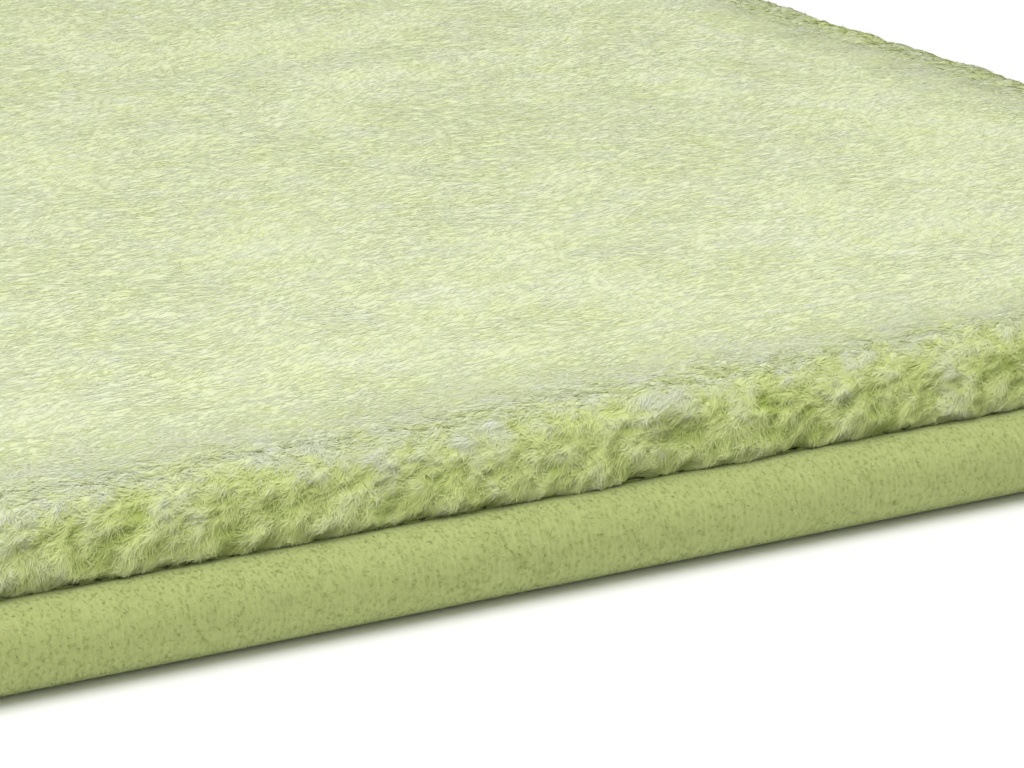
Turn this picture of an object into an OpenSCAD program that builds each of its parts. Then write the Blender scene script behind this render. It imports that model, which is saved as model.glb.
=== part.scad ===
// Plush bath mat: a foam sheet between a pile face and a non-slip base cloth, its edge bound with knit tape.
// The mat lies flat with its underside at z = 0, centred on the origin, its long side along X.

/* [Mat] */
// Length over the binding, along X
mat_l = 600; // [500:10:900]
// Width over the binding, along Y
mat_w = 400; // [300:10:600]
// Outer radius of the four corners
corner_r = 40; // [30:1:60]

/* [Layers] */
// Thickness of the foam sheet
foam_t = 7.5; // [5:0.5:9]
// Thickness of the base cloth, and of the knitted cloth that holds the pile
cloth_t = 1; // [0.5:0.1:1.2]
// Height of the pile above its ground cloth
pile_h = 13; // [11:0.5:16]

/* [Binding] */
// Thickness of the knit tape
tape_t = 1; // [0.6:0.1:1.2]
// How far in from the outer edge the tape reaches, above and below
binding_w = 9; // [9:0.5:14]
// How far in from the outer edge the seam runs
seam_in = 8; // [7.5:0.25:8.5]
// Width of the seam thread
thread_w = 0.7; // [0.4:0.1:0.9]
// Height of the seam thread
thread_h = 0.4; // [0.2:0.1:0.5]

/* [Pile edge] */
// How far the pile's bulging side leans out over the binding
pile_overhang = 3.3; // [1:0.1:4.5]
// Gap between the overhanging pile and the binding below it
pile_gap = 0.3; // [0.1:0.1:0.6]

/* [Grip dots] */
// Diameter of a dot where it meets the base cloth
dot_d = 5; // [3:0.5:8]
// Diameter of a dot where it meets the floor
dot_tip_d = 4; // [2:0.5:7]
// Distance between dots in a row, and between rows
dot_pitch = 30; // [16:1:50]
// Distance kept clear between the dots and the binding
dot_margin = 5; // [3:1:15]

/* [Care label] */
// Width of the label along the rear edge
label_w = 36; // [20:1:60]
// How far the label reaches in from the binding
label_l = 24; // [12:1:50]
// Thickness of the label
label_t = 0.4; // [0.2:0.1:0.6]
// Centre of the label along the rear edge
label_x = 150; // [-160:10:160]
// Clear distance between the label and the dots
label_clear = 2; // [1:1:10]

/* [Hidden] */
$fn = 96;
straight_l = mat_l - 2 * corner_r;
straight_w = mat_w - 2 * corner_r;
base_z = tape_t;
foam_z = base_z + cloth_t;
face_z = foam_z + foam_t;
pile_z = face_z + cloth_t;
tape_top = pile_z + tape_t;
mat_top = pile_z + pile_h;
// The edge is a half round: the foam, the cloths and the tape all turn about one centre line.
tape_r = tape_top / 2;
cloth_r = tape_r - tape_t;
foam_r = cloth_r - cloth_t;
edge_x = corner_r - tape_r;
edge_z = tape_r;
binding_x = corner_r - binding_w;
seam_x = corner_r - seam_in;
thread_sunk = thread_h / 2;
// The side of the pile is one round arc, from the binding up to the top of the mat.
pile_edge_r = (mat_top - tape_top - pile_gap) / 2;
pile_root_x = binding_x - pile_gap;
pile_edge_x = pile_root_x + pile_overhang - pile_edge_r;
dot_area_l = mat_l - 2 * (binding_w + dot_margin) - dot_d;
dot_area_w = mat_w - 2 * (binding_w + dot_margin) - dot_d;
dot_cols = floor(dot_area_l / dot_pitch / 2);
dot_rows = floor(dot_area_w / dot_pitch / 2);
label_edge_y = mat_w / 2 - binding_w;

PILE_COLOUR = "#d7dfb0";
FACE_COLOUR = "#b9c47c";
TAPE_COLOUR = "#b1bd78";
THREAD_COLOUR = "#a3b06a";
FOAM_COLOUR = "#f1ecd2";
BASE_COLOUR = "#dfe3cc";
DOT_COLOUR = "#f0f0ea";
LABEL_COLOUR = "#fafaf6";

// Extrudes a section along X: the section's x turns to +Y, its y to +Z.
module along_x(length) {
    rotate([90, 0, 90]) translate([0, 0, -length / 2]) linear_extrude(length) children();
}

// Sweeps a section round the rim, where x = corner_r is the outer edge of the mat.
module round_the_rim() {
    for (turn = [0, 180]) rotate([0, 0, turn]) {
        translate([0, straight_w / 2, 0]) along_x(straight_l) children();
        translate([straight_l / 2, 0, 0]) rotate([0, 0, -90]) along_x(straight_w) children();
        translate([straight_l / 2, straight_w / 2, 0]) rotate_extrude(angle = 90) children();
        translate([-straight_l / 2, straight_w / 2, 0])
            rotate([0, 0, 90]) rotate_extrude(angle = 90) children();
    }
}

// The flat middle of a layer, inside the rim.
module middle(low, high) {
    translate([-straight_l / 2, -straight_w / 2, low]) cube([straight_l, straight_w, high - low]);
}

// A rectangle of a section, by its limits.
module block(x0, x1, z0, z1) {
    translate([x0, z0]) square([x1 - x0, z1 - z0]);
}

// A ring of the half-round edge, cut to the part between two heights.
module edge_arc(inner_r, outer_r, low, high) {
    intersection() {
        translate([edge_x, edge_z]) difference() {
            circle(outer_r);
            circle(inner_r);
        }
        block(edge_x, corner_r, low, high);
    }
}

module seam_groove(low, high) {
    block(seam_x - thread_w / 2, seam_x + thread_w / 2, low, high);
}

module pile_section() {
    block(0, pile_edge_x, pile_z, mat_top);
    block(0, pile_root_x, pile_z, mat_top - pile_edge_r);
    intersection() {
        translate([pile_edge_x, mat_top - pile_edge_r]) circle(pile_edge_r);
        block(pile_edge_x, corner_r, pile_z, mat_top);
    }
}

module foam_section() {
    block(0, edge_x, foam_z, face_z);
    intersection() {
        translate([edge_x, edge_z]) circle(foam_r);
        block(edge_x, corner_r, foam_z, face_z);
    }
}

module tape_section() {
    difference() {
        union() {
            block(binding_x, edge_x, pile_z, tape_top);
            block(binding_x, edge_x, 0, base_z);
            edge_arc(cloth_r, tape_r, 0, tape_top);
        }
        seam_groove(tape_top - thread_sunk, tape_top);
        seam_groove(0, thread_h);
    }
}

module plush_pile() {
    color(PILE_COLOUR) union() {
        round_the_rim() pile_section();
        middle(pile_z, mat_top);
    }
}

module face_cloth() {
    color(FACE_COLOUR) union() {
        round_the_rim() {
            block(0, edge_x, face_z, pile_z);
            edge_arc(foam_r, cloth_r, edge_z, pile_z);
        }
        middle(face_z, pile_z);
    }
}

module foam_core() {
    color(FOAM_COLOUR) union() {
        round_the_rim() foam_section();
        middle(foam_z, face_z);
    }
}

module base_cloth() {
    color(BASE_COLOUR) union() {
        round_the_rim() {
            block(0, edge_x, base_z, foam_z);
            edge_arc(foam_r, cloth_r, base_z, edge_z);
        }
        middle(base_z, foam_z);
    }
}

module edge_binding() {
    color(TAPE_COLOUR) round_the_rim() tape_section();
}

module seam_thread_top() {
    color(THREAD_COLOUR) round_the_rim()
        seam_groove(tape_top - thread_sunk, tape_top + thread_sunk);
}

module seam_thread_under() {
    color(THREAD_COLOUR) round_the_rim() seam_groove(0, thread_h);
}

// True where a dot would touch the label or run under it.
function under_label(x, y) =
    abs(x - label_x) < label_w / 2 + dot_d / 2 + label_clear
    && y > label_edge_y - label_l - dot_d / 2 - label_clear;

// True where a dot would come too near the binding at a corner.
function off_corner(x, y) =
    let (dx = abs(x) - straight_l / 2, dy = abs(y) - straight_w / 2)
    dx > 0 && dy > 0 && norm([dx, dy]) > corner_r - binding_w - dot_margin - dot_d / 2;

// One lattice of dots about the middle, which the second one fills in at half a pitch.
module dot_lattice(shift) {
    for (i = [-dot_cols : dot_cols - (shift > 0 ? 1 : 0)])
        for (j = [-dot_rows : dot_rows - (shift > 0 ? 1 : 0)])
            let (x = i * dot_pitch + shift, y = j * dot_pitch + shift)
                if (!under_label(x, y) && !off_corner(x, y))
                    translate([x, y, 0]) cylinder(h = base_z, d1 = dot_tip_d, d2 = dot_d);
}

module grip_dots() {
    color(DOT_COLOUR) {
        dot_lattice(0);
        dot_lattice(dot_pitch / 2);
    }
}

module care_label() {
    color(LABEL_COLOUR)
        translate([label_x - label_w / 2, label_edge_y - label_l, base_z - label_t])
            cube([label_w, label_l, label_t]);
}

plush_pile();
face_cloth();
foam_core();
base_cloth();
grip_dots();
edge_binding();
seam_thread_top();
seam_thread_under();
care_label();
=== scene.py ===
"""Looks of the plush bath mat: pile fibres, brushed knit binding, stitches, foam, cloths and grip dots."""
import math

import bpy
import numpy as np
from mathutils import Matrix, Vector


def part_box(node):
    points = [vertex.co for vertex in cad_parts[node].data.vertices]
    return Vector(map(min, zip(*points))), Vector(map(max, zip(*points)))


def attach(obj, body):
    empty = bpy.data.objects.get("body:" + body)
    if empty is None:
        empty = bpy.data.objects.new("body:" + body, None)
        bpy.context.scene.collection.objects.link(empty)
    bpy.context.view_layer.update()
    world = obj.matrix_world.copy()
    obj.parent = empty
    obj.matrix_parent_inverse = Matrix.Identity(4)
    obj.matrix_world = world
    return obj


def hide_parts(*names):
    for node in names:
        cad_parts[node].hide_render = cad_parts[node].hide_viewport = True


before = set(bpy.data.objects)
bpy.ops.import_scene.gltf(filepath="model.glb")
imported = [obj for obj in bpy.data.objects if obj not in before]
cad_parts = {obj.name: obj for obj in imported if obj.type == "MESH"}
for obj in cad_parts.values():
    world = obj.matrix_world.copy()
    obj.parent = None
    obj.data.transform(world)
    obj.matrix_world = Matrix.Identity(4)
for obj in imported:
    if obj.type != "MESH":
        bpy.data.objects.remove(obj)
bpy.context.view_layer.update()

MM = 0.001
BODY = "root"
SEED = 11

# The mat's outline and layers, in metres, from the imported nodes
BINDING_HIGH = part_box("edge_binding")[1]
PILE_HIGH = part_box("plush_pile")[1]
FACE_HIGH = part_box("face_cloth")[1]
FOAM_LOW, FOAM_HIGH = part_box("foam_core")
BASE_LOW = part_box("base_cloth")[0]
LABEL_LOW, LABEL_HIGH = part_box("care_label")
HALF_L, HALF_W = BINDING_HIGH[0], BINDING_HIGH[1]
TAPE_TOP = BINDING_HIGH[2]
PILE_TOP = PILE_HIGH[2]
CORNER_R = 40 * MM
STRAIGHT_L = 2 * (HALF_L - CORNER_R)
STRAIGHT_W = 2 * (HALF_W - CORNER_R)
BINDING_W = 9 * MM
SEAM_IN = 8 * MM
DOT_PITCH = 30 * MM
DOT_R = 2.5 * MM
DOT_CLEAR = 5 * MM
LABEL_CLEAR = DOT_R + 2 * MM
TAPE_R = TAPE_TOP / 2
PILE_IN = HALF_L - PILE_HIGH[0]
PILE_GAP = 0.3 * MM
ROLL_R = (PILE_TOP - TAPE_TOP - PILE_GAP) / 2
ROLL_IN = PILE_IN + ROLL_R
ROLL_Z = PILE_TOP - ROLL_R
# The fibres' mean shell lies a little inside the CAD pile, and the rim's part of it ends this far in
SHELL_IN = 0.5 * MM
TOP_REACH = 22 * MM
TOP_HALF = np.array([HALF_L, HALF_W]) - ROLL_IN - TOP_REACH
# Where the swept layers end, and the gap that keeps them off each other
FLAT_IN = CORNER_R - 0.5 * MM
LAYER_GAP = 0.05 * MM
RIB_PITCH = 0.95 * MM
WEAVE_PITCH = 0.35 * MM
# How many rings each sweep round the rim has
GROUND_RINGS, TAPE_RINGS, LAYER_RINGS = 2300, 1900, 760
UP = np.array([0.0, 0.0, 1.0])

rng = np.random.default_rng(SEED)


# ---------------------------------------------------------------- outline

def rim_segments(inset):
    """The eight stretches of the outline: length at an inset, skeleton start, skeleton step, first angle."""
    arc = math.pi / 2 * (CORNER_R - inset)
    hl, hw = STRAIGHT_L / 2, STRAIGHT_W / 2
    return [
        (STRAIGHT_L, (hl, hw), (-1, 0), 90),
        (arc, (-hl, hw), (0, 0), 90),
        (STRAIGHT_W, (-hl, hw), (0, -1), 180),
        (arc, (-hl, -hw), (0, 0), 180),
        (STRAIGHT_L, (-hl, -hw), (1, 0), 270),
        (arc, (hl, -hw), (0, 0), 270),
        (STRAIGHT_W, (hl, -hw), (0, 1), 0),
        (arc, (hl, hw), (0, 0), 0),
    ]


def rim_length(inset):
    """How long the outline is at an inset."""
    return sum(segment[0] for segment in rim_segments(inset))


def rim_frame(s, inset):
    """Skeleton point and outward direction at distance s round the outline at an inset."""
    segments = rim_segments(inset)
    lengths = np.array([segment[0] for segment in segments])
    starts = np.concatenate([[0], np.cumsum(lengths)])
    s = np.mod(s, starts[-1])
    k = np.clip(np.searchsorted(starts, s, side="right") - 1, 0, len(segments) - 1)
    along = s - starts[k]
    origin = np.array([segment[1] for segment in segments], float)[k]
    step = np.array([segment[2] for segment in segments], float)[k]
    straight = np.abs(step).sum(axis=1) > 0
    angle = np.radians(np.array([segment[3] for segment in segments], float)[k])
    angle = angle + np.where(straight, 0, along / lengths[k] * math.pi / 2)
    outward = np.stack([np.cos(angle), np.sin(angle)], axis=1)
    return origin + step * along[:, None], outward


def rim_point(s, inset, depth, z):
    """3-D points at distance s round the outline, depth in from the outer edge, and height z."""
    skeleton, outward = rim_frame(s, inset)
    flat = skeleton + outward * (CORNER_R - depth)[:, None]
    return np.column_stack([flat, z]), outward


def rim_axes(outward):
    """The outward direction and the direction along the edge, in three dimensions."""
    level = np.zeros(len(outward))
    return np.column_stack([outward, level]), np.column_stack([-outward[:, 1], outward[:, 0], level])


def outward_at(xy):
    """The outward direction of the edge nearest to each point."""
    q = np.abs(xy) - np.array([STRAIGHT_L / 2, STRAIGHT_W / 2])
    corner = (q > 0).all(axis=1)
    long_way = np.hypot(q[:, 0], q[:, 1])
    out = np.where((q[:, 0] > q[:, 1])[:, None], [1.0, 0.0], [0.0, 1.0])
    out = np.where(corner[:, None], q / np.maximum(long_way, 1e-9)[:, None], out)
    return out * np.where(xy < 0, -1.0, 1.0)


# ---------------------------------------------------------------- helpers

def unit(v):
    """Each row of v, made one long."""
    return v / np.maximum(np.linalg.norm(v, axis=1), 1e-12)[:, None]


def hashed(i, j, salt):
    """Repeatable random numbers from 0 to 1 for whole-number cells."""
    value = np.sin(i * 127.1 + j * 311.7 + salt * 74.7) * 43758.5453
    return value - np.floor(value)


def smooth_noise(x, y, size, salt):
    """Value noise from -1 to 1 with features of about the given size."""
    u, v = x / size, y / size
    i, j = np.floor(u), np.floor(v)
    fu, fv = u - i, v - j
    fu, fv = fu * fu * (3 - 2 * fu), fv * fv * (3 - 2 * fv)
    low = hashed(i, j, salt) * (1 - fu) + hashed(i + 1, j, salt) * fu
    high = hashed(i, j + 1, salt) * (1 - fu) + hashed(i + 1, j + 1, salt) * fu
    return (low * (1 - fv) + high * fv) * 2 - 1


def smoothstep(low, high, x):
    """0 below low, 1 above high, and a soft step between them."""
    t = np.clip((x - low) / (high - low), 0, 1)
    return t * t * (3 - 2 * t)


def bell(x, middle, width):
    """A smooth bump of height 1."""
    return np.exp(-((x - middle) / width) ** 2)


def make_mesh(name, points, loops, starts, bake_uv=None):
    """A smooth-shaded object from flat arrays of points, corner indices and face starts."""
    mesh = bpy.data.meshes.new(name)
    mesh.vertices.add(len(points))
    mesh.vertices.foreach_set("co", np.ascontiguousarray(points, np.float32).ravel())
    mesh.loops.add(len(loops))
    mesh.loops.foreach_set("vertex_index", np.ascontiguousarray(loops, np.int32))
    mesh.polygons.add(len(starts))
    mesh.polygons.foreach_set("loop_start", np.ascontiguousarray(starts, np.int32))
    mesh.update(calc_edges=True)
    mesh.shade_smooth()
    if bake_uv is not None:
        layer = mesh.uv_layers.new(name="OFBake")
        layer.data.foreach_set("uv", np.ascontiguousarray(bake_uv, np.float32).ravel())
    piece = bpy.data.objects.new(name, mesh)
    bpy.context.scene.collection.objects.link(piece)
    return piece


def grid_loops(rows, columns, closed_u, closed_v):
    """Corner indices of the four-sided faces of a grid of points."""
    i, j = grid_cells(rows, columns, closed_u, closed_v)
    i1, j1 = (i + 1) % rows, (j + 1) % columns
    corners = [i * columns + j, i1 * columns + j, i1 * columns + j1, i * columns + j1]
    return np.stack(corners, -1).reshape(-1)


def grid_cells(rows, columns, closed_u, closed_v):
    """The row and the column of each face of a grid of points."""
    i = np.arange(rows if closed_u else rows - 1)
    j = np.arange(columns if closed_v else columns - 1)
    return np.meshgrid(i, j, indexing="ij")


def grid_mesh(name, points, closed_u, closed_v):
    """An object from a grid of points, (rows, columns, 3), and the grid place of each face corner."""
    rows, columns = points.shape[:2]
    loops = grid_loops(rows, columns, closed_u, closed_v)
    piece = make_mesh(name, points.reshape(-1, 3), loops, np.arange(0, len(loops), 4))
    i, j = grid_cells(rows, columns, closed_u, closed_v)
    corners = [np.stack([i + a, j + b], -1) for a, b in ((0, 0), (1, 0), (1, 1), (0, 1))]
    return piece, np.stack(corners, 2).reshape(-1, 2)


def repeat_shape(loops, starts, point_count, copies):
    """The corner indices and the face starts of one shape, repeated for each of its copies."""
    k = np.arange(copies)[:, None]
    return (loops + k * point_count).ravel(), (starts + k * len(loops)).ravel()


def add_uv(piece, name, uv):
    """Adds a UV map, with one place for each face corner."""
    layer = piece.data.uv_layers.new(name=name)
    layer.data.foreach_set("uv", np.ascontiguousarray(uv, np.float32).ravel())


# ---------------------------------------------------------------- materials

class Nodes:
    """A small builder for one material's node tree."""

    def __init__(self, name):
        self.material = bpy.data.materials.new(name)
        self.material.use_nodes = True
        self.tree = self.material.node_tree
        self.shader = self.tree.nodes["Principled BSDF"]

    def add(self, kind, **settings):
        """A new node with some of its settings."""
        node = self.tree.nodes.new(kind)
        for key, value in settings.items():
            setattr(node, key, value)
        return node

    def link(self, source, target):
        """Joins an output socket to an input socket."""
        self.tree.links.new(source, target)

    def place(self):
        """Places on the object, in metres."""
        return self.add("ShaderNodeTexCoord").outputs["Object"]

    def shade(self):
        """How pale each point of the mesh is, from 0 to 1; on the pile it carries painted shade and painted
        highlight.
        """
        return self.add("ShaderNodeAttribute", attribute_name="shade").outputs["Fac"]

    def bands(self, vector, direction, pitch):
        """Even bands; the wave texture repeats every pi / 10 / scale."""
        node = self.add("ShaderNodeTexWave", wave_type="BANDS", wave_profile="SIN",
                        bands_direction=direction)
        node.inputs["Scale"].default_value = math.pi / 10 / pitch
        self.link(vector, node.inputs["Vector"])
        return node

    def noise(self, vector, scale, detail=2.0, roughness=0.5):
        """Cloudy noise from 0 to 1."""
        node = self.add("ShaderNodeTexNoise")
        node.inputs["Scale"].default_value = scale
        node.inputs["Detail"].default_value = detail
        node.inputs["Roughness"].default_value = roughness
        self.link(vector, node.inputs["Vector"])
        return node.outputs["Fac"]

    def ramp(self, value, stops):
        """Colours at places from 0 to 1, in linear light."""
        node = self.add("ShaderNodeValToRGB")
        elements = node.color_ramp.elements
        while len(elements) < len(stops):
            elements.new(0.5)
        for element, (place, colour) in zip(elements, stops):
            element.position = place
            element.color = (*colour, 1)
        self.link(value, node.inputs["Fac"])
        return node.outputs["Color"]

    def math(self, operation, a, b):
        """A sum, difference or product of sockets or numbers."""
        node = self.add("ShaderNodeMath", operation=operation)
        for socket, value in zip(node.inputs, (a, b)):
            if isinstance(value, (int, float)):
                socket.default_value = value
            else:
                self.link(value, socket)
        return node.outputs[0]

    def bump(self, height, distance, strength=1.0):
        """A fine relief on the surface."""
        node = self.add("ShaderNodeBump")
        node.inputs["Distance"].default_value = distance
        node.inputs["Strength"].default_value = strength
        self.link(height, node.inputs["Height"])
        self.link(node.outputs["Normal"], self.shader.inputs["Normal"])

    def finish(self, colour, roughness, sheen=0.0, sheen_roughness=0.5, sheen_tint=None,
               specular=0.2):
        """Sets the shader, and gives back the finished material."""
        if isinstance(colour, tuple):
            self.shader.inputs["Base Color"].default_value = (*colour, 1)
        else:
            self.link(colour, self.shader.inputs["Base Color"])
        self.shader.inputs["Roughness"].default_value = roughness
        self.shader.inputs["Specular IOR Level"].default_value = specular
        self.shader.inputs["Sheen Weight"].default_value = sheen
        self.shader.inputs["Sheen Roughness"].default_value = sheen_roughness
        if sheen_tint:
            self.shader.inputs["Sheen Tint"].default_value = (*sheen_tint, 1)
        return self.material


# Linear-light colours, deep and pale, of each material
# The pile's deepest and middle colours are painted shade for valleys, roots and the rounded side;
# its tip colour is also the painted highlight on tips and crests.
PILE_SHADE_DEEP, PILE_MID, PILE_TIP = (0.40, 0.50, 0.11), (0.68, 0.755, 0.32), (0.73, 0.765, 0.60)
TAPE_DEEP, TAPE_PALE = (0.36, 0.41, 0.13), (0.48, 0.545, 0.205)
TAPE_SHEEN = (0.9, 1.0, 0.7)
FUZZ_DEEP, FUZZ_MID, FUZZ_PALE = (0.27, 0.31, 0.08), (0.42, 0.48, 0.17), (0.58, 0.64, 0.30)
FACE_DEEP, FACE_PALE = (0.42, 0.5, 0.2), (0.62, 0.68, 0.36)
BASE_DEEP, BASE_PALE = (0.60, 0.63, 0.49), (0.74, 0.76, 0.63)
FOAM_PORE_SHADE, FOAM_SKIN = (0.62, 0.55, 0.36), (0.87, 0.83, 0.64)
DOT_DEEP, DOT_PALE = (0.74, 0.75, 0.70), (0.82, 0.83, 0.78)
THREAD_DEEP, THREAD_PALE = (0.26, 0.31, 0.09), (0.40, 0.46, 0.16)
LABEL_DEEP, LABEL_PALE = (0.78, 0.78, 0.74), (0.90, 0.90, 0.87)
FLOOR_DEEP, FLOOR_PALE = (0.93, 0.93, 0.93), (0.95, 0.95, 0.95)


def pile_colour(nodes):
    """Colour from the shade attribute and random patches: painted shade makes it deep green in the valleys,
    at the roots and down the rounded side, painted highlight pale on the crests and tips.
    """
    patch = nodes.noise(nodes.place(), scale=420.0, detail=4.0, roughness=0.6)
    patch = nodes.math("MULTIPLY", nodes.math("SUBTRACT", patch, 0.5), 0.25)
    shade = nodes.math("ADD", nodes.shade(), patch)
    return nodes.ramp(shade, [(0.0, PILE_SHADE_DEEP), (0.5, PILE_MID), (1.0, PILE_TIP)])


def pile_material():
    """The fibres: matt, with hardly a highlight."""
    nodes = Nodes("pile")
    return nodes.finish(pile_colour(nodes), roughness=0.95, specular=0.05)


def ground_material():
    """The pile seen between the fibres: the same colours, with a fine fleecy grain."""
    nodes = Nodes("pile_ground")
    fleece = nodes.noise(nodes.place(), scale=1800.0, detail=4.0, roughness=0.6)
    nodes.bump(fleece, distance=0.05 * MM, strength=0.5)
    return nodes.finish(pile_colour(nodes), roughness=0.95, specular=0.05)


def tape_material():
    """Brushed knit: fine ribs across the tape, felted fuzz over them."""
    nodes = Nodes("binding_tape")
    cloth = nodes.add("ShaderNodeUVMap", uv_map="Cloth").outputs["UV"]
    place = nodes.place()
    wave = nodes.bands(cloth, "X", RIB_PITCH)
    wave.inputs["Distortion"].default_value = 0.6
    wave.inputs["Detail"].default_value = 1.0
    ribs = wave.outputs["Fac"]
    fuzz = nodes.noise(place, scale=2600.0, detail=3.0, roughness=0.6)
    blotch = nodes.noise(place, scale=320.0, detail=3.0)
    height = nodes.math("ADD", nodes.math("MULTIPLY", ribs, 0.8), fuzz)
    shade = nodes.math("ADD", nodes.math("MULTIPLY", fuzz, 0.6), nodes.math("MULTIPLY", blotch, 0.4))
    # Painted shade: the ribs' grooves take the deeper colour and their crests the paler
    shade = nodes.math("ADD", shade, nodes.math("MULTIPLY", ribs, 0.12))
    colour = nodes.ramp(shade, [(0.25, TAPE_DEEP), (0.85, TAPE_PALE)])
    nodes.bump(height, distance=0.12 * MM)
    return nodes.finish(colour, roughness=0.9, sheen=0.35, sheen_roughness=0.6, sheen_tint=TAPE_SHEEN)


def fuzz_material():
    """The hairs raised from the tape."""
    nodes = Nodes("tape_fuzz")
    colour = nodes.ramp(nodes.shade(), [(0.0, FUZZ_DEEP), (0.5, FUZZ_MID), (1.0, FUZZ_PALE)])
    return nodes.finish(colour, roughness=0.95, specular=0.05)


def plain_cloth_material(name, deep, pale, grain, depth):
    """A matt cloth with a matted grain."""
    nodes = Nodes(name)
    texture = nodes.noise(nodes.place(), scale=grain, detail=4.0, roughness=0.6)
    colour = nodes.ramp(texture, [(0.3, deep), (0.7, pale)])
    nodes.bump(texture, depth)
    return nodes.finish(colour, roughness=0.9, sheen=0.2)


def foam_material():
    """Open-cell foam: small cells in a creamy skin, their pits darkened by painted shade."""
    nodes = Nodes("foam")
    cells = nodes.add("ShaderNodeTexVoronoi")
    cells.inputs["Scale"].default_value = 900.0
    nodes.link(nodes.place(), cells.inputs["Vector"])
    # Painted shade: the pits at the cells' middles take the dark colour
    colour = nodes.ramp(cells.outputs["Distance"], [(0.0, FOAM_PORE_SHADE), (0.5, FOAM_SKIN)])
    nodes.bump(cells.outputs["Distance"], distance=0.3 * MM)
    return nodes.finish(colour, roughness=0.85)


def dot_material():
    """Soft satin rubber with faint mottling."""
    nodes = Nodes("grip_dots")
    mottle = nodes.noise(nodes.place(), scale=500.0, detail=3.0)
    colour = nodes.ramp(mottle, [(0.3, DOT_DEEP), (0.7, DOT_PALE)])
    nodes.bump(mottle, distance=0.05 * MM)
    return nodes.finish(colour, roughness=0.45, specular=0.4)


def thread_material(name):
    """Sewing thread: fine twisted strands."""
    nodes = Nodes(name)
    strands = nodes.noise(nodes.place(), scale=4000.0, detail=2.0)
    colour = nodes.ramp(strands, [(0.3, THREAD_DEEP), (0.7, THREAD_PALE)])
    nodes.bump(strands, distance=0.08 * MM)
    return nodes.finish(colour, roughness=0.6, sheen=0.1)


def label_material():
    """White satin ribbon with a fine cross weave, painted shade in its grooves."""
    nodes = Nodes("label")
    weave = nodes.bands(nodes.place(), "Y", WEAVE_PITCH).outputs["Fac"]
    # Painted shade: the weave's grooves take the deeper colour
    colour = nodes.ramp(weave, [(0.0, LABEL_DEEP), (1.0, LABEL_PALE)])
    nodes.bump(weave, distance=0.03 * MM)
    return nodes.finish(colour, roughness=0.4, specular=0.4)


# ---------------------------------------------------------------- pile

# The way that the fibres lie, seen from above
NAP = np.array([-0.92, -0.38])
FIBRES_PER_PIECE = 38000
# How many to a square metre, how long and how wide
RIM_DENSITY, RIM_FIBRE_L, RIM_FIBRE_W = 11.5 / MM ** 2, 1.6 * MM, 0.13 * MM
TOP_DENSITY, TOP_FIBRE_L, TOP_FIBRE_W = 2.4 / MM ** 2, 2.1 * MM, 0.16 * MM
# The level top's roughness, the stretch over which it fades to none at the rim, and its paleness
TOP_ROUGH, FADE, TOP_TONE = 0.08, 8 * MM, 0.88
# The clumps, layer by layer: share of the height, stretch along u and v, size, and the noise's salt
CLUMPS = [(0.24, 1, 1, 4.6 * MM, 61), (0.36, 0.8, 1.2, 2.2 * MM, 62),
          (0.28, 0.8, 1.2, 1.2 * MM, 63), (0.1, 1, 1, 0.7 * MM, 68)]
# A ribbon's faces over its five points: a four-sided lower half and a three-sided tip
RIBBON_LOOPS, RIBBON_STARTS = np.array([0, 1, 3, 2, 2, 3, 4]), np.array([0, 4])
# Painted shade at the root and painted highlight at the tip: how much paler each of those points is than its
# fibre, two at the root, two halfway, one at the tip
RIBBON_SHADE = np.array([-0.16, -0.16, -0.03, -0.03, 0.07])


def turned_noise(u, v, size, salt):
    """Noise on axes of its own, so that its layers never line up."""
    turn = salt * 0.7
    across, along = math.cos(turn), math.sin(turn)
    return smooth_noise(u * across + v * along, v * across - u * along, size, salt)


def on_tape(points):
    """Lifts what would sink into the tape to lie on it."""
    points[..., 2] = np.maximum(points[..., 2], TAPE_TOP + 0.06 * MM)
    return points


class Coat:
    """The pile's surface at places u, v: its soft clumps, the way it lies, and how pale it is, painted shade
    and highlight included.
    """

    def __init__(self, u, v, shell, normal, axis_u, axis_v, flow, soft, rough, tone):
        self.u, self.v, self.rough, self.tone = u, v, rough, tone
        self.normal, self.axis_u, self.axis_v, self.flow, self.soft = normal, axis_u, axis_v, flow, soft
        self.height = self.clumps(u, v)
        self.skin = on_tape(shell + normal * self.height[:, None])

    def clumps(self, u, v):
        """Height over the mean shell."""
        layers = sum(share * turned_noise(u * along_u, v * along_v, size, salt)
                     for share, along_u, along_v, size, salt in CLUMPS)
        return layers * self.rough * MM

    def tilt(self):
        """How the clumps turn the surface: what to add to its normal."""
        step = 0.2 * MM
        slope_u = (self.clumps(self.u + step, self.v) - self.height) / step
        slope_v = (self.clumps(self.u, self.v + step) - self.height) / step
        return -(self.axis_u * slope_u[:, None] + self.axis_v * slope_v[:, None])

    def shade(self):
        """0 in the deepest valleys, 1 on the palest crests: random patches, with painted shade in the
        clumps' valleys and painted highlight on their crests.
        """
        patches = turned_noise(self.u, self.v, 6.5 * MM, 66) + turned_noise(self.u, self.v, 1.6 * MM, 67)
        # Painted shade and highlight: the lower a clump's surface, the deeper its colour; the higher, the
        # paler
        return self.tone + 0.06 * patches + 0.6 * self.height / MM


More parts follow.
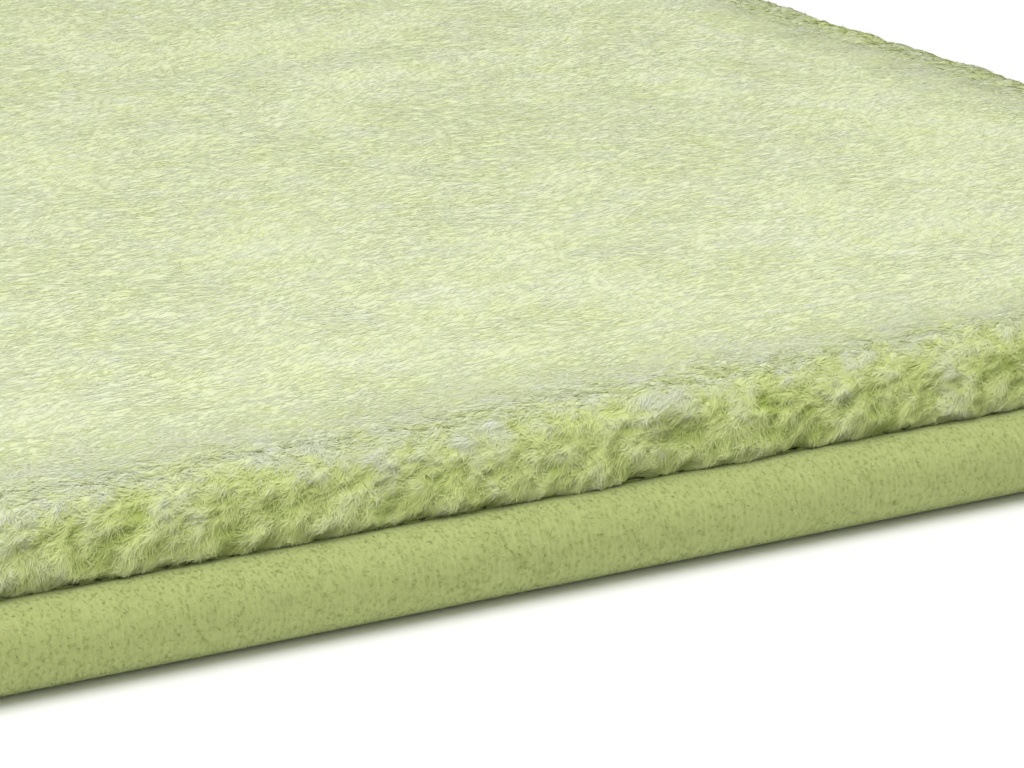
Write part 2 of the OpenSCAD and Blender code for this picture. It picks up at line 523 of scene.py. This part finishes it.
def lay_fibres(surface, u, v, length, width, sunk):
    """Ribbons of five points that follow the coat to a fine tip, with their shades and soft normals."""
    n = len(u)
    coat = surface(u, v)
    turn = rng.normal(0, 0.35, n) * (1 + 0.5 * coat.rough) + turned_noise(u, v, 1.7 * MM, 64) * coat.rough
    aside = np.cross(coat.normal, coat.flow)
    way = coat.flow * np.cos(turn)[:, None] + aside * np.sin(turn)[:, None]
    reach = length * (0.6 + 0.8 * rng.random(n))
    step_u, step_v = (way * coat.axis_u).sum(axis=1) * reach, (way * coat.axis_v).sum(axis=1) * reach
    middle, tip = surface(u + step_u * 0.5, v + step_v * 0.5), surface(u + step_u, v + step_v)
    layer = rng.random(n) * (0.012 + 0.088 * coat.rough) * MM
    stray = np.where(rng.random(n) < 0.06, rng.random(n) * 0.6, 0) * coat.rough * MM
    raised = layer + (0.006 + 0.1 * np.abs(rng.normal(0, 1, n)) * coat.rough) * MM + stray
    tilt = coat.tilt()
    sway = rng.normal(0, 0.04, n) + rng.normal(0, 0.1, n) * coat.rough
    facing = unit(coat.normal + tilt + aside * sway[:, None])
    root = coat.skin - coat.normal * sunk
    centre = middle.skin + middle.normal * layer[:, None]
    point = tip.skin + tip.normal * raised[:, None]
    side = unit(np.cross(point - root, facing)) * (width * (0.7 + 0.6 * rng.random(n)))[:, None] / 2
    points = on_tape(np.stack([root - side, root + side, centre - side, centre + side, point], axis=1))
    shading = unit(coat.soft + tilt * 0.75 + aside * (rng.normal(0, 0.12, n) * coat.rough)[:, None])
    level = coat.shade() + rng.normal(0, 0.04, n)
    return points, level[:, None] + RIBBON_SHADE, shading


def fibre_uv(n):
    """A strip of the bake map for each fibre, root at its foot and tip at its head."""
    columns = max(1, int(math.sqrt(n * 14)))
    rows = math.ceil(n / columns)
    k = np.arange(n)
    left, low = (k % columns) / columns, (k // columns) / rows
    w, h = 0.9 / columns, 0.9 / rows
    heads = np.array([[0, 0], [1, 0], [1, .5], [0, .5], [0, .5], [1, .5], [.5, 1]])
    return np.stack([left[:, None] + heads[:, 0] * w, low[:, None] + heads[:, 1] * h], axis=-1)


def set_shade(piece, shade):
    """Sets how pale each point is, for the materials; on the pile this holds painted shade and painted
    highlight.
    """
    layer = piece.data.attributes.new("shade", "FLOAT", "POINT")
    layer.data.foreach_set("value", np.ascontiguousarray(shade, np.float32).ravel())


def set_normals(piece, normals):
    """Sets the normal that each point is shaded with."""
    layer = piece.data.attributes.new("custom_normal", "FLOAT_VECTOR", "POINT")
    layer.data.foreach_set("vector", np.ascontiguousarray(normals, np.float32).ravel())


def join_body(piece, node, material):
    """Gives a piece its material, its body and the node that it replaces."""
    piece.data.materials.append(material)
    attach(piece, BODY)
    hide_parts(node)


def fibre_mesh(name, points, shade, shading):
    """Ribbons as one object, with their shades and soft normals."""
    n, each = points.shape[:2]
    loops, starts = repeat_shape(RIBBON_LOOPS, RIBBON_STARTS, each, n)
    piece = make_mesh(name, points.reshape(-1, 3), loops, starts, fibre_uv(n))
    set_shade(piece, shade)
    set_normals(piece, np.repeat(shading, each, axis=0))
    return piece


def roll_radius(angle):
    """The rounded side's radius: it swells where it rests on the tape, and draws in a little above that."""
    swell = 0.32 * bell(angle, 2.45, 0.52) - 0.09 * bell(angle, 1.45, 0.55)
    foot = 0.16 * bell(angle, 2.82, 0.25)
    return ROLL_R * (1 + swell + foot) - SHELL_IN


def rim_surface(s, arc):
    """The pile's rim: arc is 0 where its rounded side starts, and negative on the level top inside that."""
    angle = np.clip(arc / ROLL_R, 0, math.radians(178))
    waver = smooth_noise(s, arc, 11 * MM, 21) * 0.45 * MM + smooth_noise(s, arc, 5 * MM, 22) * 0.2 * MM
    waver = waver * smoothstep(-TOP_REACH, 0, arc)
    radius = roll_radius(angle) + waver
    step = 0.02
    slope = (roll_radius(angle + step) - roll_radius(angle)) / step / radius
    slope = slope * smoothstep(0, 0.3, angle)
    depth = ROLL_IN - np.minimum(arc, 0) - radius * np.sin(angle)
    shell, outward = rim_point(s, ROLL_IN, depth, ROLL_Z + radius * np.cos(angle))
    out, edge = rim_axes(outward)
    normal = out * np.sin(angle)[:, None] + UP * np.cos(angle)[:, None]
    down = out * np.cos(angle)[:, None] - UP * np.sin(angle)[:, None]
    normal, down = unit(normal - down * slope[:, None]), unit(down + normal * slope[:, None])
    swirl = smooth_noise(s, arc, 12 * MM, 33) * 0.6
    fall = outward @ NAP + 0.2 * angle
    flow = unit(down * fall[:, None] + edge * (edge[:, :2] @ NAP + swirl)[:, None])
    rough = TOP_ROUGH * smoothstep(0, FADE, arc + TOP_REACH) + 0.92 * smoothstep(-10 * MM, 7 * MM, arc)
    # Painted shade: deeper, more saturated green towards the shoulder and down the rounded side, where the
    # pile lies in shade
    tone = TOP_TONE - 0.09 * smoothstep(-8 * MM, 0, arc) - 0.33 * smoothstep(0.1, 1.5, angle)
    soft = unit(normal + UP * 1.3 * smoothstep(0.3, 1.7, angle)[:, None])
    return Coat(s, arc, shell, normal, edge, down, flow, soft, rough, tone)


def top_surface(x, y):
    """The level top of the pile inside the rim."""
    n = len(x)
    shell = np.column_stack([x, y, np.full(n, PILE_TOP - SHELL_IN)])
    normal = np.tile(UP, (n, 1))
    bend = smooth_noise(x, y, 14 * MM, 44) * 0.6
    cos, sin = np.cos(bend), np.sin(bend)
    flow = np.column_stack([NAP[0] * cos - NAP[1] * sin, NAP[0] * sin + NAP[1] * cos, np.zeros(n)])
    axes = np.tile([1.0, 0.0, 0.0], (n, 1)), np.tile([0.0, 1.0, 0.0], (n, 1))
    inside = np.minimum(TOP_HALF[0] - np.abs(x), TOP_HALF[1] - np.abs(y))
    rough = TOP_ROUGH * smoothstep(0, FADE, inside)
    return Coat(x, y, shell, normal, *axes, flow, normal, rough, np.full(n, TOP_TONE))


def rim_fibres():
    """Fibres strewn over the rim, fewer on the level part, and the place of each round the outline."""
    low, high = -TOP_REACH, ROLL_R * math.radians(170)
    length = rim_length(ROLL_IN)
    n = int(RIM_DENSITY * length * (high - low))
    s = rng.random(n) * length
    arc = low + (high - low) * rng.random(n)
    near = smoothstep(low, 0, arc)
    narrowing = rim_length(ROLL_IN - np.minimum(arc, 0)) / length
    keep = rng.random(n) < (0.25 + 0.75 * near) * narrowing
    s, arc = s[keep], arc[keep]
    sunk = (0.03 + 0.17 * smoothstep(-12 * MM, 3 * MM, arc)) * MM
    return s, lay_fibres(rim_surface, s, arc, RIM_FIBRE_L, RIM_FIBRE_W, sunk[:, None])


def top_fibres():
    """Fibres strewn over the level top, and the place of each along the mat."""
    size = TOP_HALF + 1 * MM
    n = int(TOP_DENSITY * 4 * size[0] * size[1])
    x, y = ((rng.random((n, 2)) * 2 - 1) * size).T
    return x, lay_fibres(top_surface, x, y, TOP_FIBRE_L, TOP_FIBRE_W, 0.03 * MM)


def split_pieces(name, order, fibres, node, slot, material):
    """Cuts the fibres into neighbouring groups, with fibres of like shade side by side in the bake map."""
    shade = fibres[1]
    rank = np.argsort(order, kind="stable")
    pieces = []
    for k, part in enumerate(np.array_split(rank, math.ceil(len(rank) / FIBRES_PER_PIECE))):
        part = part[np.argsort(shade[part, 2], kind="stable")]
        piece = fibre_mesh(f"{name}_{k + 1:02d}", *(group[part] for group in fibres))
        join_body(piece, node, material)
        pieces.append(piece)
    return pieces


def ground_grid(name, surface, u, v, sink, material, closed):
    """The closed ground under the fibres, with the same clumps in it."""
    uu, vv = (axis.ravel() for axis in np.meshgrid(u, v, indexing="ij"))
    coat = surface(uu, vv)
    points = coat.skin - coat.normal * sink
    piece, _ = grid_mesh(name, points.reshape(len(u), len(v), 3), closed, False)
    # Painted shade: the ground between the fibres is a little deeper in colour than the fibres over it
    set_shade(piece, coat.shade() - 0.08)
    set_normals(piece, unit(coat.soft + coat.tilt() * 0.75))
    join_body(piece, "plush_pile", material)


def build_ground(material):
    """The ground in three pieces: the rounded side, the border of the level top, and the rest of it."""
    s = np.linspace(0, rim_length(ROLL_IN), GROUND_RINGS, endpoint=False)
    inner = -3 * MM
    side = np.linspace(ROLL_R * math.radians(177), inner, 43)
    ground_grid("pile_ground_side", rim_surface, s, side, 0.1 * MM, material, True)
    border = np.linspace(inner, -TOP_REACH - 1 * MM, 24)
    ground_grid("pile_ground_border", rim_surface, s, border, 0.07 * MM, material, True)
    reach = TOP_HALF + 0.5 * MM
    x = np.linspace(-reach[0], reach[0], 400)
    y = np.linspace(-reach[1], reach[1], 240)
    ground_grid("pile_ground_top", top_surface, x, y, 0.05 * MM, material, False)


def build_pile():
    """All the pieces of the pile."""
    material = pile_material()
    split_pieces("pile_rim", *rim_fibres(), "plush_pile", "pile", material)
    split_pieces("pile_top", *top_fibres(), "plush_pile", "pile", material)
    build_ground(ground_material())


# ---------------------------------------------------------------- binding

# Raised hairs to a square metre of tape
HAIR_DENSITY = 4.0 / MM ** 2


def arc_points(radius, start, end, count):
    """Depth and height of points on the edge's half round; 90 is straight up, 0 straight out."""
    return [(TAPE_R - radius * math.cos(a), TAPE_R + radius * math.sin(a))
            for a in np.radians(np.linspace(start, end, count))]


def tape_section():
    """The tape from under its lower hem, out round the edge, to under its upper hem: depth and height."""
    lower = [(BINDING_W - 0.6 * MM, 0.95 * MM), (BINDING_W, 0.8 * MM), (BINDING_W + 0.1 * MM, 0.4 * MM),
             (BINDING_W - 0.2 * MM, 0.1 * MM), (BINDING_W - 0.7 * MM, 0.04 * MM), (SEAM_IN, 0.18 * MM),
             (SEAM_IN - 0.7 * MM, 0.02 * MM)]
    top = TAPE_TOP
    upper = [(SEAM_IN - 0.8 * MM, top - 0.02 * MM), (SEAM_IN, top - 0.2 * MM),
             (BINDING_W - 0.5 * MM, top - 0.1 * MM), (BINDING_W, top - 0.4 * MM),
             (BINDING_W - 0.4 * MM, top - 0.9 * MM)]
    return np.array(lower + arc_points(TAPE_R, -90, 90, 33) + upper)


def sweep(name, section, count, caps=False):
    """A section of depths and heights swept round the rim; caps close its two inner ends with flat faces."""
    s = np.linspace(0, rim_length(0), count, endpoint=False)
    rows = [rim_point(s, 0, np.full(count, d), np.full(count, z))[0] for d, z in section]
    points = np.stack(rows, axis=1)
    if not caps:
        return grid_mesh(name, points, True, False)
    columns = len(section)
    loops = grid_loops(count, columns, True, False)
    floor = np.arange(count)[::-1] * columns
    roof = np.arange(count) * columns + columns - 1
    starts = np.concatenate([np.arange(0, len(loops), 4), [len(loops), len(loops) + count]])
    return make_mesh(name, points.reshape(-1, 3), np.concatenate([loops, floor, roof]), starts), None


def build_binding():
    """The folded tape and the hairs raised from it."""
    section = tape_section()
    count, length = TAPE_RINGS, rim_length(0)
    steps = np.linalg.norm(np.diff(section, axis=0), axis=1)
    across = np.concatenate([[0], np.cumsum(steps)])
    piece, corners = sweep("edge_binding_tape", section, count)
    add_uv(piece, "Cloth", np.column_stack([corners[:, 0] / count * length, across[corners[:, 1]]]))
    ripple_tape(piece, len(section))
    join_body(piece, "edge_binding", tape_material())
    fuzz = build_tape_fuzz()


def ripple_tape(piece, columns):
    """Slow waves of a tenth of a millimetre, where the tape isn't pulled quite even."""
    points = np.empty(len(piece.data.vertices) * 3, np.float32)
    piece.data.vertices.foreach_get("co", points)
    points = points.reshape(-1, 3)
    outward = outward_at(points[:, :2].astype(float))
    path = np.repeat(np.arange(len(points) // columns) * 1.0 * MM, columns)
    wave = smooth_noise(path, points[:, 2].astype(float), 17 * MM, 51) * 0.12 * MM
    points[:, :2] -= outward * np.abs(wave)[:, None]
    piece.data.vertices.foreach_set("co", points.ravel())


def build_tape_fuzz():
    """Short hairs raised from the brushed tape."""
    n = int(HAIR_DENSITY * rim_length(0) * 2.2 * TAPE_R)
    s = rng.random(n) * rim_length(0)
    turn = np.radians(rng.random(n) * 150 - 55)
    skin, outward = rim_point(s, 0, TAPE_R - TAPE_R * np.cos(turn), TAPE_R + TAPE_R * np.sin(turn))
    out, edge = rim_axes(outward)
    normal = out * np.cos(turn)[:, None] + UP * np.sin(turn)[:, None]
    spin = rng.random(n) * 2 * math.pi
    way = edge * np.cos(spin)[:, None] + np.cross(normal, edge) * np.sin(spin)[:, None]
    reach = (0.35 + 0.5 * rng.random(n))[:, None] * MM
    side = unit(np.cross(way, normal)) * (0.03 * MM + 0.03 * MM * rng.random(n))[:, None]
    middle = skin + way * reach * 0.5 + normal * 0.12 * MM
    tip = skin + way * reach + normal * reach * 0.35
    root = skin - normal * 0.1 * MM
    points = np.stack([root - side, root + side, middle - side, middle + side, tip], axis=1)
    shade = np.repeat((0.5 + rng.normal(0, 0.35, n))[:, None], 5, axis=1)
    return split_pieces("tape_fuzz", s, (points, shade, normal), "edge_binding", "binding_tape",
                        fuzz_material())


# ---------------------------------------------------------------- layers

def build_foam():
    """The foam sheet, with its rounded edge."""
    r = FOAM_HIGH[2] - TAPE_R
    section = [(FLAT_IN, FOAM_LOW[2]), (20 * MM, FOAM_LOW[2])] + arc_points(r, -90, 90, 17)
    section += [(20 * MM, FOAM_HIGH[2]), (FLAT_IN, FOAM_HIGH[2])]
    piece, _ = sweep("foam_core_pad", section, LAYER_RINGS, caps=True)
    join_body(piece, "foam_core", foam_material())


def build_cloth(name, node, upward, material):
    """A cloth laid over the foam and turned round half of its edge; upward is 1 above it and -1 below."""
    inner, outer = FOAM_HIGH[2] - TAPE_R + LAYER_GAP, FACE_HIGH[2] - TAPE_R - LAYER_GAP
    tucked = [(FLAT_IN, TAPE_R + upward * inner)] + arc_points(inner, 90 * upward, 0, 9)
    shown = arc_points(outer, 0, 90 * upward, 9) + [(FLAT_IN, TAPE_R + upward * outer)]
    section = tucked + shown
    piece, _ = sweep(name, section if upward > 0 else section[::-1], LAYER_RINGS, caps=True)
    join_body(piece, node, material)


def dot_places():
    """The middles of the grip dots: two lattices, clear of the label and of the binding."""
    places = []
    label_x = (LABEL_LOW[0] + LABEL_HIGH[0]) / 2
    label_reach = (LABEL_HIGH[0] - LABEL_LOW[0]) / 2 + LABEL_CLEAR
    for shift in (0, DOT_PITCH / 2):
        reach = [int((half - BINDING_W - DOT_CLEAR - DOT_R) / DOT_PITCH) for half in (HALF_L, HALF_W)]
        last = 0 if shift else 1
        for i in range(-reach[0], reach[0] + last):
            for j in range(-reach[1], reach[1] + last):
                x, y = i * DOT_PITCH + shift, j * DOT_PITCH + shift
                if abs(x - label_x) > label_reach or y < LABEL_LOW[1] - LABEL_CLEAR:
                    places.append((x, y))
    return np.array(places)


def revolve_copies(name, profile, places, around=16):
    """The same turned shape, closed by its last ring, at many places."""
    angles = np.arange(around) / around * 2 * math.pi
    ring = np.column_stack([np.cos(angles), np.sin(angles)])
    shape = np.concatenate([np.column_stack([ring * r, np.full(around, z)]) for r, z in profile])
    points = np.concatenate([shape + np.array([x, y, 0]) for x, y in places])
    side = grid_loops(len(profile), around, False, True)
    cap = (len(profile) - 1) * around + np.arange(around)[::-1]
    starts = np.concatenate([np.arange(0, len(side), 4), [len(side)]])
    shape_loops = np.concatenate([side, cap])
    return make_mesh(name, points, *repeat_shape(shape_loops, starts, len(shape), len(places)))


def build_dots():
    """The domed grip dots, as one piece."""
    top = BASE_LOW[2] + 0.05 * MM
    profile = [(DOT_R, top), (DOT_R * 0.99, top - 0.35 * MM), (DOT_R * 0.93, 0.38 * MM),
               (DOT_R * 0.8, 0.12 * MM), (DOT_R * 0.6, 0.02 * MM), (DOT_R * 0.25, 0.0)]
    piece = revolve_copies("grip_dot_domes", profile, dot_places())
    join_body(piece, "grip_dots", dot_material())


def build_stitches(name, node, height, outward_z):
    """One row of lockstitch: short thread capsules whose ends dip into the tape."""
    pitch = 3.1 * MM
    length = rim_length(SEAM_IN)
    count = int(length / pitch)
    steps = np.array([-1.0, -0.8, -0.4, 0.0, 0.4, 0.8, 1.0])
    bulk = np.array([0.15, 0.7, 1.0, 1.0, 1.0, 0.7, 0.15])
    around, half_width, half_height = 8, 0.33 * MM, 0.18 * MM
    angle = np.arange(around) / around * 2 * math.pi
    middle = (np.arange(count) + 0.5) * length / count
    s = (middle[:, None] + steps * 0.44 * pitch).ravel()
    place, outward = rim_point(s, SEAM_IN, np.full(len(s), SEAM_IN), np.full(len(s), height))
    size = np.tile(bulk, count)
    dip = (1 - size) * 0.2 * MM * -outward_z
    out = np.column_stack([outward, np.zeros(len(s))])
    centre = place + np.column_stack([np.zeros((len(s), 2)), dip])
    ring = (centre[:, None] + out[:, None] * (half_width * size[:, None] * np.cos(angle))[..., None]
            + UP * (half_height * size[:, None] * np.sin(angle))[..., None])
    side = grid_loops(len(steps), around, False, True)
    ends = np.concatenate([np.arange(around), (len(steps) - 1) * around + np.arange(around)[::-1]])
    starts = np.concatenate([np.arange(0, len(side), 4), [len(side), len(side) + around]])
    stitch = np.concatenate([side, ends])
    piece = make_mesh(name, ring.reshape(-1, 3),
                      *repeat_shape(stitch, starts, len(steps) * around, count))
    join_body(piece, node, thread_material(name))


def build_label():
    """A blank satin label sewn in under the rear edge, its free end a little curled."""
    low, high = np.array(LABEL_LOW), np.array(LABEL_HIGH)
    across, along = 25, 17
    ring = 2 * along
    u, v = np.meshgrid(np.linspace(0, 1, across), np.linspace(0, 1, along), indexing="ij")
    x = low[0] + (high[0] - low[0]) * u.ravel()
    y = low[1] + (high[1] + 1.5 * MM - low[1]) * v.ravel()
    curl = (1 - v.ravel()) ** 3 * 0.12 * MM + np.sin(u.ravel() * 7) * 0.04 * MM
    z = low[2] + 0.2 * MM - curl
    upper = np.column_stack([x, y, z + 0.12 * MM]).reshape(across, along, 3)
    lower = np.column_stack([x, y, z - 0.12 * MM]).reshape(across, along, 3)
    points = np.concatenate([upper, lower[:, ::-1]], axis=1)
    loops = grid_loops(across, ring, False, True)
    ends = np.concatenate([np.arange(ring)[::-1], (across - 1) * ring + np.arange(ring)])
    starts = np.concatenate([np.arange(0, len(loops), 4), [len(loops), len(loops) + ring]])
    piece = make_mesh("care_label_tab", points.reshape(-1, 3), np.concatenate([loops, ends]), starts)
    join_body(piece, "care_label", label_material())


def build_layers():
    """What lies inside and under the mat, and its seams."""
    build_foam()
    knit = plain_cloth_material("face_cloth", FACE_DEEP, FACE_PALE, grain=900.0, depth=0.2 * MM)
    felt = plain_cloth_material("base_cloth", BASE_DEEP, BASE_PALE, grain=700.0, depth=0.25 * MM)
    build_cloth("face_cloth_sheet", "face_cloth", 1, knit)
    build_cloth("base_cloth_sheet", "base_cloth", -1, felt)
    build_dots()
    build_stitches("seam_stitches_top", "seam_thread_top", TAPE_TOP, 1)
    build_stitches("seam_stitches_under", "seam_thread_under", 0.2 * MM, -1)
    build_label()


# ---------------------------------------------------------------- studio

def build_stage():
    """The white floor, which isn't a part of the mat."""
    nodes = Nodes("floor")
    mottle = nodes.noise(nodes.place(), scale=3.0)
    colour = nodes.ramp(mottle, [(0.0, FLOOR_DEEP), (1.0, FLOOR_PALE)])
    material = nodes.finish(colour, roughness=0.7, specular=0.1)
    half = 4
    points = np.array([[-half, -half, 0], [half, -half, 0], [half, half, 0], [-half, half, 0]], float)
    floor = make_mesh("floor", points, np.arange(4), np.array([0]))
    floor.data.materials.append(material)


def aimed(place, way):
    """The place and turn of a lamp or a camera that looks the given way."""
    return Matrix.Translation(place) @ way.to_track_quat("-Z", "Y").to_matrix().to_4x4()


def area_light(name, place, target, size, power):
    """A rectangular lamp that shines on a target."""
    data = bpy.data.lights.new(name, "AREA")
    data.shape = "RECTANGLE"
    data.size, data.size_y = size
    data.energy = power
    light = bpy.data.objects.new(name, data)
    way = Vector(target) - Vector(place)
    light.matrix_world = aimed(place, way)
    bpy.context.scene.collection.objects.link(light)


def build_light():
    """An even white surround, and one large soft lamp above."""
    world = bpy.data.worlds.new("studio")
    world.use_nodes = True
    background = world.node_tree.nodes["Background"]
    background.inputs["Color"].default_value = (1, 1, 1, 1)
    background.inputs["Strength"].default_value = 0.55
    bpy.context.scene.world = world
    area_light("key", place=(-0.15, -0.25, 1.5), target=(0, 0, 0), size=(1.3, 1.3), power=19)


def build_camera():
    """The close view over the near edge: a long lens, low and turned a little to the right."""
    turn, drop = math.radians(30.25), math.radians(17.08)
    forward = Vector((math.sin(turn) * math.cos(drop), math.cos(turn) * math.cos(drop), -math.sin(drop)))
    data = bpy.data.cameras.new("camera")
    data.sensor_width = 36
    data.lens = 140.6
    data.clip_start = 0.01
    camera = bpy.data.objects.new("camera", data)
    place = Vector((-0.1465, -0.6276, 0.183))
    camera.matrix_world = aimed(place, forward)
    bpy.context.scene.collection.objects.link(camera)
    bpy.context.scene.camera = camera


build_camera()
build_stage()
build_light()
build_pile()
build_binding()
build_layers()
bpy.context.scene.view_settings.view_transform = "Standard"
